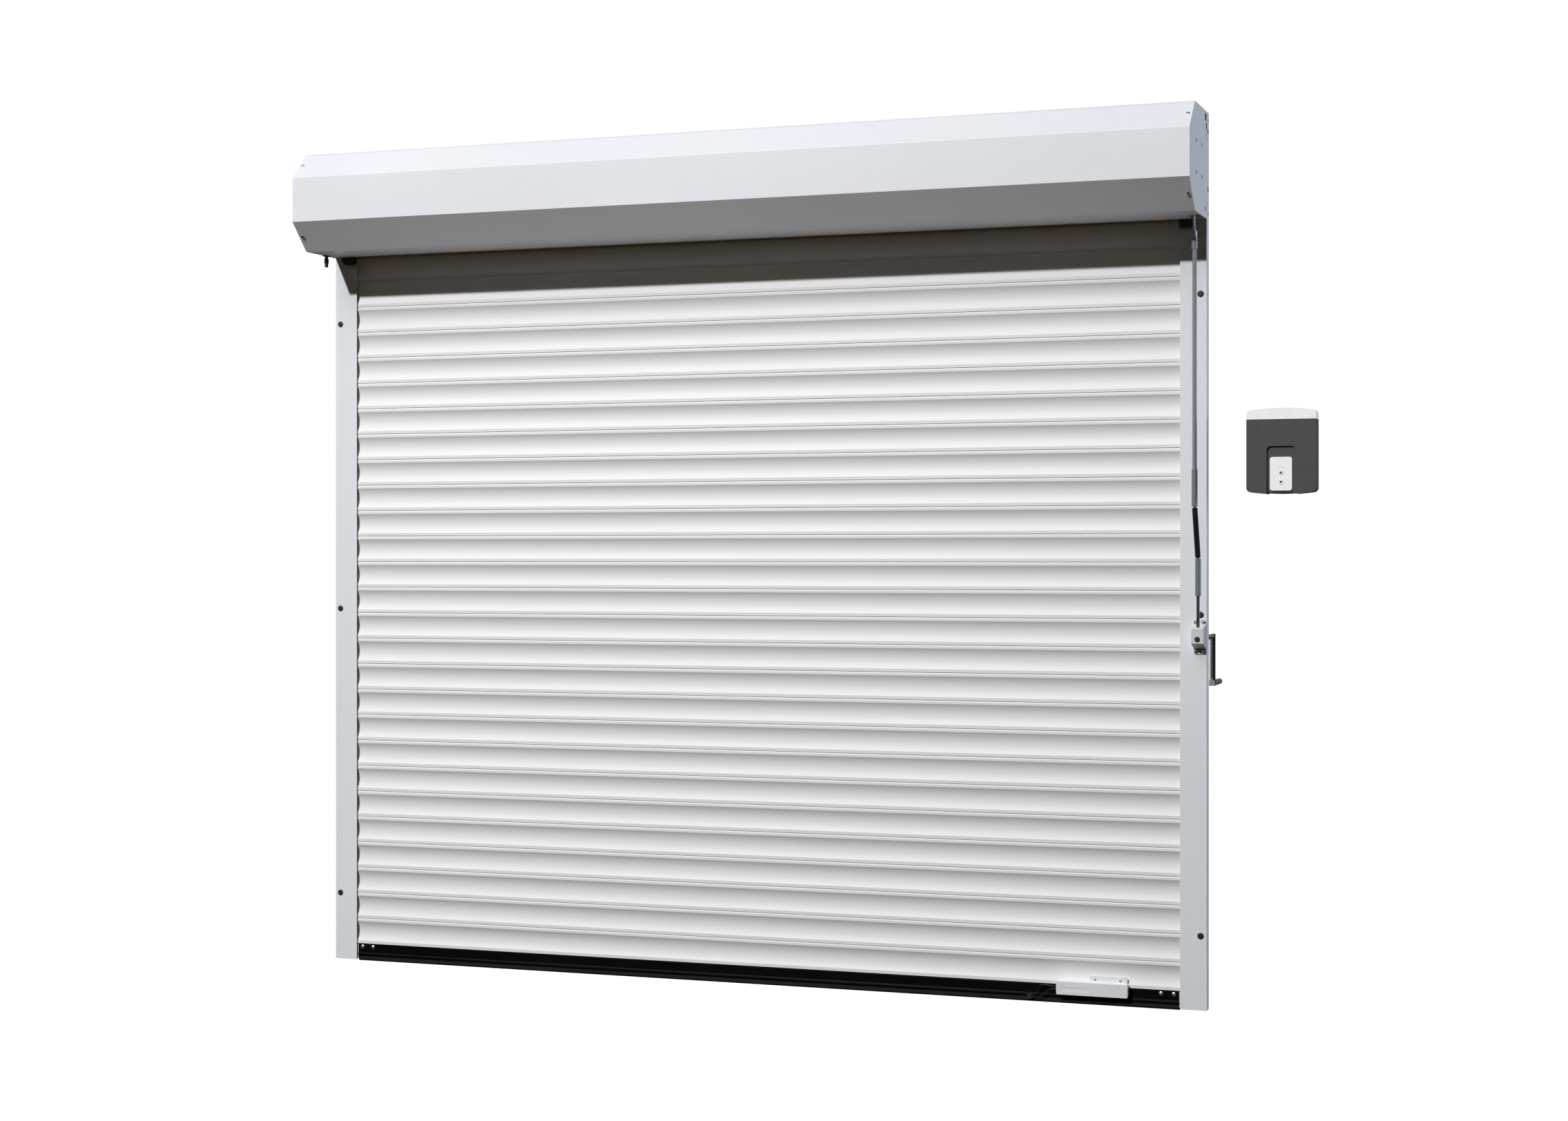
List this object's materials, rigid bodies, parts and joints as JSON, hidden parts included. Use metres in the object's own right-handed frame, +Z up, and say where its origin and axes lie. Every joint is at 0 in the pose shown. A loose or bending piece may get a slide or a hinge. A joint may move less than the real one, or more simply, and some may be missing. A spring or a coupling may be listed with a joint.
{
  "type": "motorised roller garage door",
  "caption": "Tubular-motor roller shutter for a garage doorway: casing, slatted curtain, guide rails, crank drive, door sensor and wall control box.",
  "frame": {"origin": "on the floor in the wall plane, midway between the guide rails", "axes": "+X along the wall to the right as seen from inside the room, +Y through the wall to the outside, +Z up"},
  "size_m": [2.8665, 0.546, 2.352],
  "materials": {
    "casing_paint": "satin",
    "plate_paint": "satin",
    "guide_paint": "satin",
    "slat_paint": "satin",
    "gearbox_paint": "satin",
    "black_plastic": "matte",
    "black_brush": "matte",
    "black_rubber": "matte",
    "black_aluminium": "matte",
    "black_cable": "satin",
    "black_steel": "satin",
    "dark_steel": "satin",
    "rod_paint": "satin",
    "rod_aluminium": "satin",
    "zinc_steel": "satin",
    "bearing_steel": "polished",
    "strap_steel": "satin",
    "core_steel": "matte",
    "cast_zinc": "matte",
    "aluminium_can": "satin",
    "bright_chrome": "polished",
    "dark_screw": "satin",
    "white_plastic": "satin",
    "sensor_plastic": "satin",
    "dark_plastic": "matte",
    "pale_plastic": "satin",
    "key_plastic": "satin",
    "grey_plastic": "satin",
    "grey_plastic_metal": "satin",
    "circuit_board": "satin"
  },
  "bodies": {
    "frame": {"right_guide_rail": "guide_paint", "left_guide_rail": "guide_paint", "brush_seals": "black_brush", "hole_plugs": "black_plastic", "inlet_funnels": "black_plastic", "right_end_plate": "plate_paint", "left_end_plate": "plate_paint", "casing_top_and_back": "casing_paint", "casing_front_cover": "casing_paint", "casing_floor_panel": "casing_paint", "casing_screws": "zinc_steel", "barrel_bearing": "bearing_steel", "motor_tube": "zinc_steel", "motor_reduction_gear": "cast_zinc", "motor_stator": "core_steel", "motor_brake": "core_steel", "motor_capacitor": "aluminium_can", "limit_switch_unit": "white_plastic", "motor_head": "cast_zinc", "motor_bracket": "zinc_steel", "bracket_screws": "dark_screw", "crank_gearbox_housing": "gearbox_paint", "gearbox_screws": "bright_chrome", "toggle_seat": "black_plastic", "control_base": "dark_plastic", "control_cover": "dark_plastic", "control_lamp_cap": "pale_plastic", "keypad_plate": "pale_plastic", "control_electronics": "circuit_board"},
    "curtain": {"lower_slats": "slat_paint", "middle_slats": "slat_paint", "upper_slats": "slat_paint", "slat_end_plugs": "white_plastic", "bottom_bar": "black_aluminium", "bottom_seal": "black_rubber", "bottom_bar_screws": "zinc_steel", "sensor_housing": "sensor_plastic", "sensor_transmitter": "circuit_board", "sensor_wire_upper": "black_cable", "sensor_wire_lower": "black_cable", "wire_clip": "black_plastic", "suspension_straps": "strap_steel"},
    "barrel": {"barrel_tube": "zinc_steel", "idler_cap": "black_plastic", "drive_wheel": "cast_zinc", "crown_ring": "black_plastic"},
    "rotor": {"motor_rotor": "core_steel"},
    "crank": {"crank_shaft": "grey_plastic_metal", "crank_arm": "bright_chrome"},
    "grip": {"crank_grip": "grey_plastic"},
    "lower_drive": {"lower_drive_shaft": "dark_steel", "lower_sleeve": "rod_paint"},
    "link": {"crank_link": "black_steel"},
    "rod": {"upper_sleeve": "rod_paint", "crank_rod": "rod_aluminium", "joint_cup": "rod_paint"},
    "top_drive": {"top_shaft": "rod_paint"},
    "toggle": {"release_toggle": "black_plastic"},
    "up_key": {"up_button": "key_plastic"},
    "down_key": {"down_button": "key_plastic"}
  },
  "joints": [
    {"name": "curtain_lift", "type": "slide", "parent": "frame", "child": "curtain", "axis": [0, 0, 1], "range_m": [0, 0.15], "deforming": ["suspension_straps"]},
    {"name": "barrel_spin", "type": "hinge", "parent": "frame", "child": "barrel", "pos_m": [0, -0.142, 2.213], "axis": [1, 0, 0], "range_deg": [-1, 160]},
    {"name": "rotor_spin", "type": "hinge", "parent": "frame", "child": "rotor", "pos_m": [0.95, -0.142, 2.213], "axis": [1, 0, 0], "range_deg": [-10, 3200]},
    {"name": "crank_turn", "type": "hinge", "parent": "frame", "child": "crank", "pos_m": [1.2714, 0, 0.9763], "axis": [0, 1, 0], "continuous": true},
    {"name": "grip_spin", "type": "hinge", "parent": "crank", "child": "grip", "pos_m": [1.2714, 0.2, 0.8513], "axis": [0, 1, 0], "continuous": true},
    {"name": "lower_shaft_spin", "type": "hinge", "parent": "frame", "child": "lower_drive", "pos_m": [1.2714, -0.057, 1.05], "axis": [0, 0, 1], "continuous": true},
    {"name": "link_spin", "type": "hinge", "parent": "frame", "child": "link", "pos_m": [1.2714, -0.057, 1.181], "axis": [-0.0164, -0.2523, 0.9675], "continuous": true},
    {"name": "rod_spin", "type": "hinge", "parent": "frame", "child": "rod", "pos_m": [1.269, -0.094, 1.7], "axis": [0, 0, 1], "continuous": true},
    {"name": "top_shaft_spin", "type": "hinge", "parent": "frame", "child": "top_drive", "pos_m": [1.269, -0.094, 2.013], "axis": [0, -0.1961, 0.9806], "continuous": true},
    {"name": "toggle_pull", "type": "slide", "parent": "frame", "child": "toggle", "axis": [0, 0, -1], "range_m": [0, 0.014], "stiffness_N_per_m": 300, "springref_m": -0.002},
    {"name": "up_button_press", "type": "slide", "parent": "frame", "child": "up_key", "axis": [0, 1, 0], "range_m": [0, 0.001], "stiffness_N_per_m": 900, "springref_m": -0.0005},
    {"name": "down_button_press", "type": "slide", "parent": "frame", "child": "down_key", "axis": [0, 1, 0], "range_m": [0, 0.001], "stiffness_N_per_m": 900, "springref_m": -0.0005}
  ],
  "couplings": [
    {"joint": "barrel_spin", "follows": "curtain_lift", "rad_per_m": 18.182},
    {"joint": "rotor_spin", "follows": "curtain_lift", "rad_per_m": 363.64},
    {"joint": "lower_shaft_spin", "follows": "crank_turn", "ratio": -1},
    {"joint": "link_spin", "follows": "crank_turn", "ratio": -1},
    {"joint": "rod_spin", "follows": "crank_turn", "ratio": -1},
    {"joint": "top_shaft_spin", "follows": "crank_turn", "ratio": -1}
  ]
}
